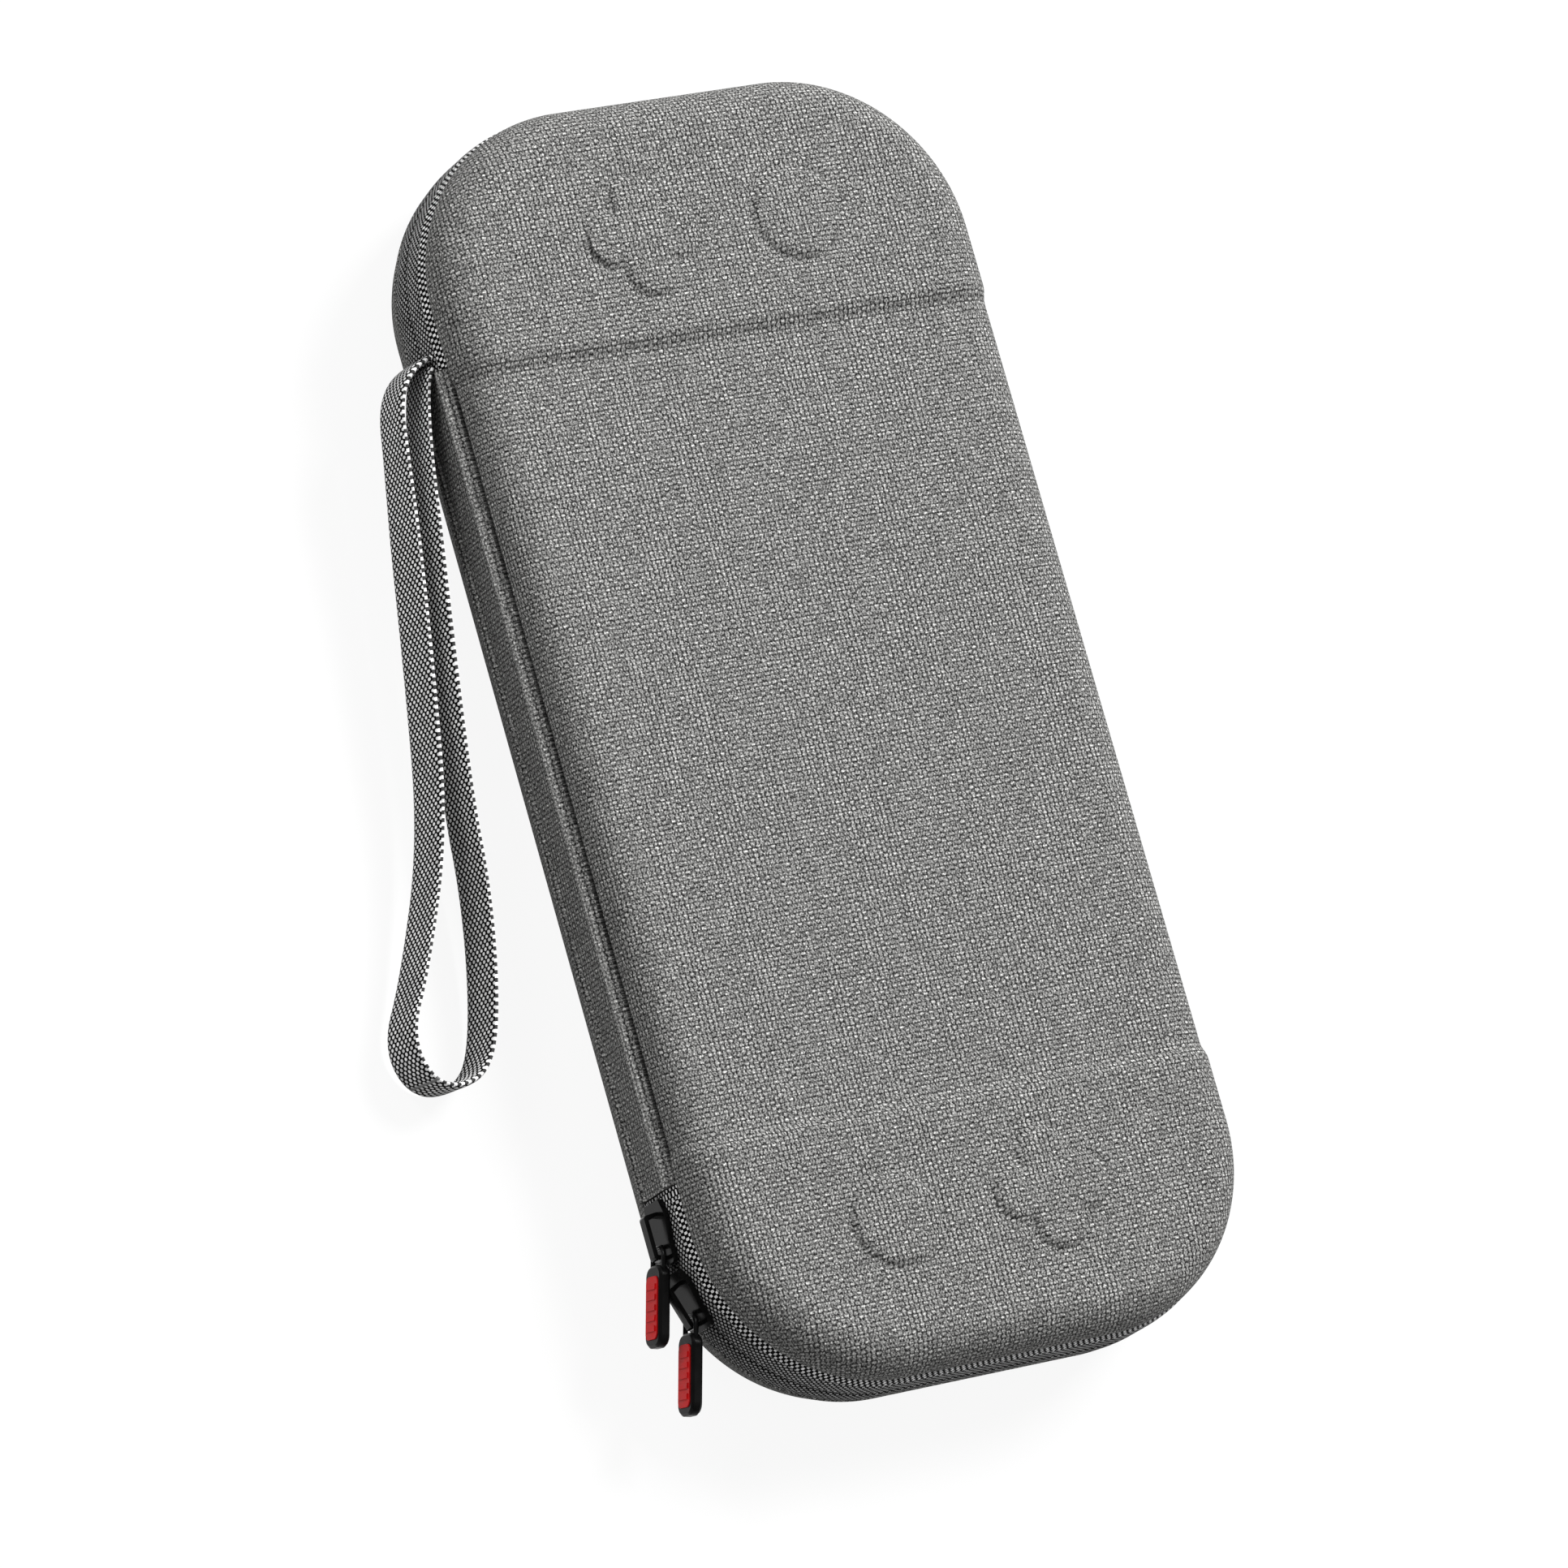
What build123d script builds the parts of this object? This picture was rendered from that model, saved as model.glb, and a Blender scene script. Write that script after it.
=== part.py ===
from build123d import *
import os
from math import cos, radians, sin

# Zipped hard-shell carrying case for a handheld game console, in millimetres.
# It lies on its flat underside: X along the length, spine at +Y, lid on top.
# The origin is the middle of the underside.

# Case body
case_length = 262.0
case_width = 120.0
corner_radius = 37.0
base_depth = 19.8
lid_depth = 17.2
wall = 4.0
draft_deg = 17.0
base_edge_radius = 9.9
lid_edge_radius = 8.2

# Lid relief: both ends stand proud of the middle, and carry raised stick and button forms
end_rise = 1.6
end_step_from_corner = 15.0
waist_inset = 0.5
emboss_rise = 0.9
emboss_slope_deg = 50.0
emboss_sink = 1.0
emboss_past_corner = 7.0
stick_radius = 9.3
stick_y = 20.0
lobe_radius = 5.4
lobe_spread = 7.0
cluster_y = 14.5

# Zip band: tapes are sewn over the joggled rims of both shells
band_up = 8.6
band_down = 6.6
joggle = 1.1
rim_gap_half = 3.6
slit_half = 0.55
tape_proud = 0.15
seam_gap = 0.05
coil_height = 2.0
coil_thick = 1.5
binding_thick = 1.0
binding_height = 3.0

# Spine panel that joins both shells along the back
spine_start_from_corner = 9.5
spine_end_from_corner = 11.0
spine_proud = 0.5
spine_top_gap = 0.25
welt_radius = 0.9
welt_from_edge = 1.5
welt_stand = 0.45
tape_end_gap = 0.2

# Zip sliders: outer plate, inner plate, post between them and a bridge for the pull
slider_length = 12.5
slider_head_width = 8.6
slider_tail_width = 6.4
slider_clear = 0.3
outer_plate = 1.1
inner_plate = 1.0
inner_plate_length = 9.0
inner_plate_width = 6.4
plate_corner = 0.9
inner_sweep = 0.4
post_length = 3.0
post_thick = 0.5
bridge_width = 2.2
bridge_thick = 0.9
bridge_length = 8.8
bridge_lean = 0.5
bridge_corner = 0.7
parked_from_corner = 2.0
running_slider_deg = 18.2

# Pulls: wire loop, moulded rubber grip and coloured inlay
wire = 1.0
wire_clear = 0.45
pull_pivot_u = 2.6
loop_reach = 6.0
loop_half = 2.6
loop_corner = 1.2
grip_start = 3.4
grip_length = 16.0
grip_width = 7.4
grip_thick = 2.3
grip_corner = 2.4
grip_edge = 0.5
inlay_length = 12.2
inlay_width = 5.4
inlay_corner = 1.3
inlay_depth = 0.3
inlay_proud = 0.25
inlay_from_end = 1.6
inlay_ribs = 5
rib_rise = 0.25
rib_width = 1.1
rib_margin = 0.6
pull_heading = (-0.96, 0.235, -0.15)

# Wrist strap: flat webbing on edge, sewn in at the end of the spine
# Its route is given from the exit, along the case and out from its back
strap_width = 11.6
strap_thick = 1.3
strap_slope_deg = 5.5
strap_exit_from_corner = 7.0
strap_corner_share = 0.45
strap_route = [
    (0.0, 0.45), (-2.2, 6.6), (-79.0, 20.6), (-130.5, 38.9), (-141.0, 36.0), (-141.3, 24.0),
    (-131.5, 20.9), (-107.0, 16.2), (-83.0, 15.2), (-5.2, 3.9), (-2.1, 0.75),
]

# Divider flap with card pockets, sewn to the spine
flap_from_spine_end = 9.0
flap_from_front = 14.0
flap_thick = 3.0
flap_below_slit = 0.6
flap_corner = 12.0
flap_spine_gap = 0.3
flap_edge_width = 2.2
flap_edge_rise = 0.4
card_count = 5
card_depth = 26.0
card_gap = 4.0
card_rise = 1.0
card_sheet = 0.6
card_corner = 2.0
card_margin = 3.0
card_row_inset = 5.5
card_row_from_front = (24.0, 62.0)
card_bevel = 0.5

# Elastic straps across the base floor
elastic_from_corner = 2.0
elastic_width = 20.0
elastic_thick = 1.2
elastic_from_side = 16.0
elastic_bow = 1.0
floor_gap = 0.3

# Net pocket under the lid
net_from_step = 9.0
net_shoulder = 9.0
net_thick = 0.7
net_drop = 3.4
net_bend = 8.0
net_from_front = 20.0
net_from_back = 16.0
net_seat_gap = 0.3
bead_width = 2.4
bead_thick = 2.2

# Levels and places worked out from the sizes above
slit_z = base_depth
total_height = base_depth + lid_depth
middle_top = total_height - end_rise
seam_low = slit_z - band_down
seam_high = slit_z + band_up
rim_low = slit_z - rim_gap_half
rim_high = slit_z + rim_gap_half
half_width = case_width / 2
corner_x = case_length / 2 - corner_radius
corner_y = half_width - corner_radius
end_step_x = corner_x - end_step_from_corner
emboss_x = corner_x + emboss_past_corner
tape_inner = joggle - seam_gap
coil_inner = joggle + coil_thick
spine_start_x = spine_start_from_corner - corner_x
spine_end_x = corner_x - spine_end_from_corner
parked_slider_x = parked_from_corner - corner_x
strap_exit_x = corner_x - strap_exit_from_corner
flap_length = 2 * (spine_end_x - flap_from_spine_end)
flap_front_y = flap_from_front - half_width
flap_level = slit_z - flap_below_slit
card_row_length = flap_length - 2 * card_row_inset
card_pitch = (card_row_length - 2 * card_margin + card_gap) / card_count
card_width = card_pitch - card_gap
elastic_x = corner_x - elastic_from_corner
elastic_half = half_width - elastic_from_side
net_half = end_step_x - net_from_step
net_front_y = net_from_front - half_width
net_back_y = half_width - net_from_back


def outline(inset):
    """Plan outline of the case, moved in by inset."""
    length = case_length - 2 * inset
    width = case_width - 2 * inset
    return RectangleRounded(length, width, corner_radius - inset)


def ring(outer_inset, inner_inset, low, high):
    """Upright band that follows the case outline between two insets and two levels."""
    section = outline(outer_inset) - outline(inner_inset)
    return Pos(0, 0, low) * extrude(section, high - low)


def cut_at_spine(band):
    """Take the stretch that the spine panel fills out of a band."""
    start = spine_start_x - tape_end_gap
    end = spine_end_x + tape_end_gap
    middle = Pos((start + end) / 2, half_width, slit_z)
    return band - middle * Box(end - start, corner_radius, total_height)


def end_mask(side):
    """Region of one raised end, with a sloped face towards the middle of the lid."""
    over = total_height + emboss_rise
    slope_x = end_step_x + over - middle_top
    far = case_length
    points = [(end_step_x, 0), (end_step_x, middle_top), (slope_x, over), (far, over), (far, 0)]
    section = Plane.XZ * make_face(Polyline(*points, close=True))
    mask = extrude(section, case_width, both=True)
    return mask if side > 0 else mirror(mask, about=Plane.YZ)


def straight(inset, low, high):
    """Upright block on the case outline between two levels."""
    return Pos(0, 0, low) * extrude(outline(inset), high - low)


def drafted(inset, height, edge_radius):
    """Block on the case outline with drafted sides and round shoulders."""
    block = extrude(outline(inset), height, taper=draft_deg)
    return fillet(block.faces().sort_by(Axis.Z)[-1].edges(), edge_radius)


def lid_form(inset, low):
    """Lid body at an inset from its outside: a lower middle and two raised ends."""
    edge_radius = lid_edge_radius - inset
    form = Pos(0, 0, low) * drafted(inset + waist_inset, middle_top - inset - low, edge_radius)
    ends = Pos(0, 0, low) * drafted(inset, total_height - inset - low, edge_radius)
    for side in (1, -1):
        form = form + (ends & Pos(0, 0, -inset) * end_mask(side))
    return form


def raised(sketch):
    """Raised form on a lid end with sloped sides, rooted in the wall below it."""
    body = extrude(sketch, emboss_rise, taper=emboss_slope_deg) + extrude(sketch, -emboss_sink)
    return Pos(0, 0, total_height) * body


def lid_shell():
    mouth = rim_high + binding_height
    shell = lid_form(0, seam_high) + straight(joggle, rim_high, seam_high)
    shell = shell - straight(wall, rim_high, mouth) - lid_form(wall, mouth)
    lobes = Rectangle(2 * lobe_spread - lobe_radius, 2 * lobe_spread - lobe_radius, rotation=45)
    for x, y in ((1, 0), (-1, 0), (0, 1), (0, -1)):
        lobes = lobes + Pos(x * lobe_spread, y * lobe_spread) * Circle(lobe_radius)
    for side in (1, -1):
        shell = shell + Pos(side * emboss_x, -side * stick_y) * raised(Circle(stick_radius))
        shell = shell + Pos(side * emboss_x, side * cluster_y) * raised(lobes)
    return shell


def base_shell():
    mouth = rim_low - binding_height
    over = Rot(180, 0, 0)
    outside = Pos(0, 0, seam_low) * over * drafted(0, seam_low, base_edge_radius)
    cavity = Pos(0, 0, mouth) * over * drafted(wall, mouth - wall, base_edge_radius - wall)
    return outside + straight(joggle, seam_low, rim_low) - straight(wall, mouth, rim_low) - cavity


def spine_panel():
    low = seam_low + spine_top_gap
    high = seam_high - spine_top_gap
    inner_y = half_width - tape_inner
    outer_y = half_width + spine_proud
    section = Pos((inner_y + outer_y) / 2, (low + high) / 2) * Rectangle(outer_y - inner_y, high - low)
    for level in (low + welt_from_edge, high - welt_from_edge):
        section = section + Pos(outer_y + welt_stand - welt_radius, level) * Circle(welt_radius)
    panel = extrude(Plane.YZ * section, spine_end_x - spine_start_x)
    return Pos(spine_start_x, 0, 0) * panel


def zip_tape(low, high):
    return cut_at_spine(ring(-tape_proud, tape_inner, low, high))


def zip_coil(low, high):
    return cut_at_spine(ring(joggle, coil_inner, low, high))


def slider():
    """Slider in its own axes: x towards its tail, y out of the case, z across the slit."""
    half = slider_length / 2
    plate_low = tape_proud + slider_clear
    plate_top = plate_low + outer_plate
    head = slider_head_width / 2
    tail = slider_tail_width / 2
    plan = Polyline(
        (-half, -tail), (-half / 2, -head), (half / 3, -tail), (half, -tail),
        (half, tail), (half / 3, tail), (-half / 2, head), (-half, tail), close=True)
    face = fillet(make_face(plan).vertices(), plate_corner)
    body = Pos(0, plate_top, 0) * extrude(Plane.XZ * face, outer_plate)
    inner_top = -coil_inner - slider_clear - inner_sweep
    inner_face = RectangleRounded(inner_plate_length, inner_plate_width, plate_corner)
    body = body + Pos(0, inner_top, 0) * extrude(Plane.XZ * inner_face, inner_plate)
    post_deep = plate_top - inner_top
    post_x = -inner_plate_length / 2 + post_length / 2
    body = body + Pos(post_x, plate_top - post_deep / 2, 0) * Box(post_length, post_deep, post_thick)
    return body + bridge(plate_low, plate_top)


def pivot_height():
    """Distance of the pull's wire from the case outline."""
    return tape_proud + slider_clear + outer_plate + wire_clear + wire / 2


def bridge(foot, plate_top):
    """Arched bar over the slider that holds the wire of the pull."""
    under = pivot_height() + wire / 2 + wire_clear
    top = under + bridge_thick
    start = pull_pivot_u + wire + wire_clear - bridge_length + bridge_thick
    end = start + bridge_length
    outer = Polyline(
        (start - bridge_lean, foot), (start, top), (end, top), (end + bridge_lean, foot), close=True)
    inner = Polyline(
        (start - bridge_lean + bridge_thick, plate_top), (start + bridge_thick, under),
        (end - bridge_thick, under), (end + bridge_lean - bridge_thick, plate_top), close=True)
    face = make_face(outer)
    face = fillet(face.vertices().sort_by(Axis.Y)[-2:], bridge_corner) - make_face(inner)
    return extrude(face, bridge_width / 2, both=True)


def parked_place():
    return Pos(parked_slider_x, half_width, slit_z) * Rot(0, 180, 0)


def running_place():
    turn = Pos(-corner_x, corner_y, slit_z) * Rot(0, 0, running_slider_deg)
    return turn * Pos(0, corner_radius, 0) * Rot(0, 180, 0)


def pull_place(slider_place):
    """Frame of a pull: origin on its wire, x along the hanging grip, z along the wire."""
    origin = (slider_place * Pos(pull_pivot_u, pivot_height(), 0)).position
    heading = Vector(*pull_heading).normalized()
    across = Vector(0, 0, 1).cross(heading).normalized()
    return Plane(origin=origin, x_dir=heading, z_dir=heading.cross(across))


def pull_loop(diameter):
    """Bent wire, closed, with its corners cut off."""
    side = loop_half - loop_corner
    reach = loop_reach - loop_corner
    path = Plane.XZ * Polyline(
        (loop_reach, 0), (loop_reach, side), (reach, loop_half), (loop_corner, loop_half), (0, side),
        (0, -side), (loop_corner, -loop_half), (reach, -loop_half), (loop_reach, -side), close=True)
    start = Plane(origin=path @ 0, z_dir=path % 0)
    return sweep(start * Circle(diameter / 2), path=path, transition=Transition.RIGHT)


def inlay_plate(extra):
    """Inlay body seated in the outer face of the grip, grown by extra for its pocket."""
    length = inlay_length + 2 * extra
    width = inlay_width + 2 * extra
    face = Plane.XZ * RectangleRounded(length, width, inlay_corner + extra)
    middle = grip_start + grip_length - inlay_from_end - inlay_length / 2
    deep = inlay_depth + inlay_proud + 2 * extra
    return Pos(middle, extra + inlay_depth - grip_thick / 2, 0) * extrude(face, deep)


def pull_inlay():
    inlay = inlay_plate(0)
    middle = grip_start + grip_length - inlay_from_end - inlay_length / 2
    pitch = inlay_length / (inlay_ribs + 1)
    face_y = -grip_thick / 2 - inlay_proud
    for rib in range(inlay_ribs):
        x = middle + (rib - (inlay_ribs - 1) / 2) * pitch
        bar = Rectangle(rib_width, inlay_width - 2 * rib_margin)
        inlay = inlay + Pos(x, face_y, 0) * extrude(Plane.XZ * bar, rib_rise)
    return inlay


def pull_grip():
    plan = RectangleRounded(grip_length, grip_width, grip_corner)
    grip = extrude(Plane.XZ * plan, grip_thick / 2, both=True)
    long_edges = grip.faces().sort_by(Axis.Y)[0].edges() + grip.faces().sort_by(Axis.Y)[-1].edges()
    grip = Pos(grip_start + grip_length / 2, 0, 0) * chamfer(long_edges, grip_edge)
    return grip - pull_loop(wire + 2 * seam_gap) - inlay_plate(seam_gap)


def strap_radii(points):
    """Bend radii of the strap: as large as the two runs at each corner leave room for."""
    radii = []
    for before, here, after in zip(points, points[1:], points[2:]):
        first = Vector(*here) - Vector(*before)
        second = Vector(*after) - Vector(*here)
        half_turn = radians(first.get_angle(second) / 2)
        shorter = min(first.length, second.length)
        radii.append(strap_corner_share * shorter * cos(half_turn) / sin(half_turn))
    return radii


def wrist_strap():
    slope = radians(strap_slope_deg)
    along = (cos(slope), 0, sin(slope))
    across = (-sin(slope), 0, cos(slope))
    plane = Plane(origin=(strap_exit_x, half_width, slit_z), x_dir=along, z_dir=across)
    radii = strap_radii(strap_route)
    print("strap bend radii", [round(radius, 1) for radius in radii])
    path = FilletPolyline(*strap_route, radius=radii)
    start = Plane(origin=path @ 0, x_dir=(0, 0, 1), z_dir=path % 0)
    strap = sweep(start * Rectangle(strap_width, strap_thick), path=path)
    print("strap length", round(path.length, 1), "volume", round(strap.volume, 1))
    return plane * strap


def flap_outline(inset):
    """Flap plan: square against the spine, round corners at the front."""
    back = half_width - tape_inner - flap_spine_gap
    front = flap_front_y + inset
    length = flap_length - 2 * inset
    face = Pos(0, (back + front) / 2) * Rectangle(length, back - front)
    return fillet(face.vertices().sort_by(Axis.Y)[:2], flap_corner - inset)


def divider_flap():
    return Pos(0, 0, flap_level) * extrude(flap_outline(flap_edge_width), flap_thick)


def flap_binding():
    back = half_width - wall - binding_thick - flap_edge_width
    band = flap_outline(0) - flap_outline(flap_edge_width - seam_gap)
    body = extrude(band, flap_thick + 2 * flap_edge_rise)
    body = split(body, bisect_by=Plane(origin=(0, back, 0), z_dir=(0, -1, 0)))
    return Pos(0, 0, flap_level - flap_edge_rise) * body


def card_row(from_front):
    """Row of card pockets: one sheet with a raised pocket for each card."""
    row = extrude(RectangleRounded(card_row_length, card_depth + 2 * card_margin, card_corner), card_sheet)
    face = Rectangle(card_width, card_depth)
    pocket = extrude(chamfer(face.vertices(), card_corner), card_rise)
    pocket = chamfer(pocket.faces().sort_by(Axis.Z)[-1].edges(), card_bevel)
    for index in range(card_count):
        x = (index - (card_count - 1) / 2) * card_pitch
        row = row + Pos(x, 0, card_sheet) * pocket
    level = flap_level + flap_thick + seam_gap
    return Pos(0, flap_front_y + from_front, level) * row


def console_elastic(side):
    """Slack elastic across the base floor, a little bowed up in the middle."""
    half = elastic_half
    top = elastic_thick
    lower = ThreePointArc((-half, 0), (0, elastic_bow), (half, 0))
    upper = ThreePointArc((half, top), (0, elastic_bow + top), (-half, top))
    ends = [Line(lower @ 1, upper @ 0), Line(upper @ 1, lower @ 0)]
    band = extrude(Plane.YZ * make_face(Curve() + [lower, upper] + ends), elastic_width)
    return Pos(side * elastic_x - elastic_width / 2, 0, wall + floor_gap) * band


def net_path():
    """Line of the net pocket across the lid: sewn up at both ends, level between."""
    high = middle_top - wall - net_seat_gap - net_thick
    low = high - net_drop
    flat = net_half - net_shoulder
    return FilletPolyline((-net_half, high), (-flat, low), (flat, low), (net_half, high), radius=net_bend)


def net_sweep(thick, width, front):
    path = Plane.XZ * net_path()
    start = Plane(origin=path @ 0, x_dir=(0, 1, 0), z_dir=path % 0)
    return Pos(0, front + width / 2, 0) * sweep(start * Rectangle(width, thick), path=path)


pieces = {
    "lid_shell": lid_shell(),
    "base_shell": base_shell(),
    "spine_panel": spine_panel(),
    "lid_zip_tape": zip_tape(slit_z + slit_half, seam_high - seam_gap),
    "base_zip_tape": zip_tape(seam_low + seam_gap, slit_z - slit_half),
    "lid_zip_coil": zip_coil(slit_z + slit_half, slit_z + slit_half + coil_height),
    "base_zip_coil": zip_coil(slit_z - slit_half - coil_height, slit_z - slit_half),
    "lid_binding": ring(wall + seam_gap, wall + binding_thick, rim_high, rim_high + binding_height),
    "base_binding": ring(wall + seam_gap, wall + binding_thick, rim_low - binding_height, rim_low),
    "wrist_strap": wrist_strap(),
    "divider_flap": divider_flap(),
    "flap_binding": flap_binding(),
    "front_card_row": card_row(card_row_from_front[0]),
    "rear_card_row": card_row(card_row_from_front[1]),
    "left_elastic": console_elastic(-1),
    "right_elastic": console_elastic(1),
    "net_pocket": net_sweep(net_thick, net_back_y - net_front_y, net_front_y),
    "net_elastic": net_sweep(bead_thick, bead_width, net_front_y - seam_gap - bead_width),
}
for name, place in (("parked", parked_place()), ("running", running_place())):
    pull = pull_place(place)
    pieces[name + "_slider"] = place * slider()
    pieces[name + "_pull_loop"] = pull * pull_loop(wire)
    pieces[name + "_pull_grip"] = pull * pull_grip()
    pieces[name + "_pull_inlay"] = pull * pull_inlay()
    pivot = tuple(round(value, 3) for value in pull.origin)
    axis = tuple(round(-value, 5) for value in pull.z_dir)
    print(name, "pull pivot", pivot, "outward swing axis", axis)

os.makedirs("parts", exist_ok=True)
for name, piece in pieces.items():
    export_step(piece, f"parts/{name}.step")
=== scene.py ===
from math import ceil, cos, hypot, pi, radians, sin, tan

import bpy
import numpy as np
from mathutils import Matrix, Vector


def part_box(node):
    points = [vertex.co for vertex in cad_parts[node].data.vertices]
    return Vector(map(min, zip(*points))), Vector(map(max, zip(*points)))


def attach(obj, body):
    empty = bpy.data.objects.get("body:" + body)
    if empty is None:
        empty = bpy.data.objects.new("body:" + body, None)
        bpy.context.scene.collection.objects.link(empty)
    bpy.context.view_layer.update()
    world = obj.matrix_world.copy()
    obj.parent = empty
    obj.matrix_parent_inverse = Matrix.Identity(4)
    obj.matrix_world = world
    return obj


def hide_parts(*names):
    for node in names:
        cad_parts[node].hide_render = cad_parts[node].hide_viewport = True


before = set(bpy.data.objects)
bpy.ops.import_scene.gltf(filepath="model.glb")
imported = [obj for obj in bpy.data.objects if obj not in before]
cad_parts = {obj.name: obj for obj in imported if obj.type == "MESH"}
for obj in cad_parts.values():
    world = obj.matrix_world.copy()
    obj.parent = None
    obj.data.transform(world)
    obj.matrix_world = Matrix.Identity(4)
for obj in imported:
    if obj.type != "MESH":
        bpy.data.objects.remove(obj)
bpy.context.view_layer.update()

# Looks of a zipped carrying case with a moulded, cloth-covered lid and base.
# Lengths are in millimetres until a mesh is made, and cloth coordinates too.
MM = 0.001


def box_mm(node):
    """Lowest and highest corner of a node of the frame, in millimetres."""
    low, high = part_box(node)
    return np.array(low) / MM, np.array(high) / MM


# Sizes read from the frame
lid_low, lid_high = box_mm("lid_shell")
base_high = box_mm("base_shell")[1]
lid_tape_low, lid_tape_high = box_mm("lid_zip_tape")
base_tape_low, base_tape_high = box_mm("base_zip_tape")
lid_coil_low, lid_coil_high = box_mm("lid_zip_coil")
base_coil_low, base_coil_high = box_mm("base_zip_coil")
lid_bind_low, lid_bind_high = box_mm("lid_binding")
base_bind_low, base_bind_high = box_mm("base_binding")
spine_low, spine_high = box_mm("spine_panel")
flap_low, flap_high = box_mm("divider_flap")
flap_edge_low, flap_edge_high = box_mm("flap_binding")
net_low, net_high = box_mm("net_pocket")
bead_low, bead_high = box_mm("net_elastic")

HALF_LENGTH = base_high[0]
HALF_WIDTH = base_high[1]
RIM_HIGH = lid_low[2]
RIM_LOW = base_high[2]
SLIT = (lid_tape_low[2] + base_tape_high[2]) / 2

# Sizes of the moulded shells that the frame's boxes don't give
CORNER = 37.0
DRAFT = radians(17)
WALL = 4.0
JOGGLE = 1.1
SEAM_GAP = 0.05
LID_EDGE = 8.2
BASE_EDGE = 9.9
END_RISE = 1.6
END_STEP = 79.6
STEP_SOFT = 1.7
WAIST = 0.5
EMBOSS_RISE = 0.9
EMBOSS_SOFT = 0.45
EMBOSS_DIP = 0.3
DIP_PLACE = 1.1
DIP_WIDTH = 0.6
EMBOSS_X = 101.0
STICK_RADIUS = 9.0
STICK_Y = 20.0
LOBE_RADIUS = 5.1
LOBE_SPREAD = 7.0
CLUSTER_Y = 14.5
CLOTH_ROLL = 0.7
LID_ROLL = 0.35
SEAM_PULL = 0.5
TAPE_PROUD = 0.15
TAPE_LEAN = 0.55
TAPE_TUCK = 0.15
LID_TAPE_LAP = 0.25
BASE_TAPE_LAP = 0.1
SLIT_HALF = 0.26
SPINE_PROUD = 0.5
SPINE_LAP = 0.1
CREVICE_DEEP = 0.4
CREVICE_WIDE = 1.1
WELT_FROM_EDGE = 1.9
WELT_HALF = 1.0
WELT_RISE = 0.95

SEAM_HIGH = lid_tape_high[2] + SEAM_GAP
SEAM_LOW = base_tape_low[2] - SEAM_GAP
LID_TOP = lid_high[2] - EMBOSS_RISE
MIDDLE_TOP = LID_TOP - END_RISE
CORNER_X = HALF_LENGTH - CORNER
CORNER_Y = HALF_WIDTH - CORNER

# Wrist strap: the route is given from its exit, along the case and out from its back
STRAP_ROUTE = [
    (0.0, 0.45), (-1.8, 8.2), (-22.0, 10.8), (-60.0, 15.9), (-92.0, 21.0), (-118.0, 31.5), (-130.8, 38.6),
    (-141.3, 35.0), (-141.2, 25.0), (-131.5, 19.7), (-107.0, 15.0), (-83.0, 14.0), (-5.2, 3.9), (-2.1, 0.75),
]
STRAP_EXIT = (87.0, HALF_WIDTH, SLIT)
STRAP_SLOPE = radians(5.5)
STRAP_LEAN = 0.11
STRAP_WIDTH = 11.6
STRAP_THICK = 1.3

# Webbing weaves: period and half size of the pale floats, along and across
TAPE_DASH = ((1.4, 1.34), (0.32, 0.40))
TAPE_BLOCK = ((1.25, 2.5), (0.30, 0.56))
STRAP_DASH = ((1.58, 1.6), (0.37, 0.48))
STRAP_BLOCK = ((1.55, 8.0), (0.38, 0.95))

# Camera, fitted to the photograph
CAMERA_PLACE = (-0.40359, 0.94611, 1.82583)
CAMERA_AZIMUTH = radians(-157.169)
CAMERA_ELEVATION = radians(60.614)
CAMERA_ROLL = radians(53.970)
CAMERA_LENS = 242.24
CAMERA_SENSOR = 36.0


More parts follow.
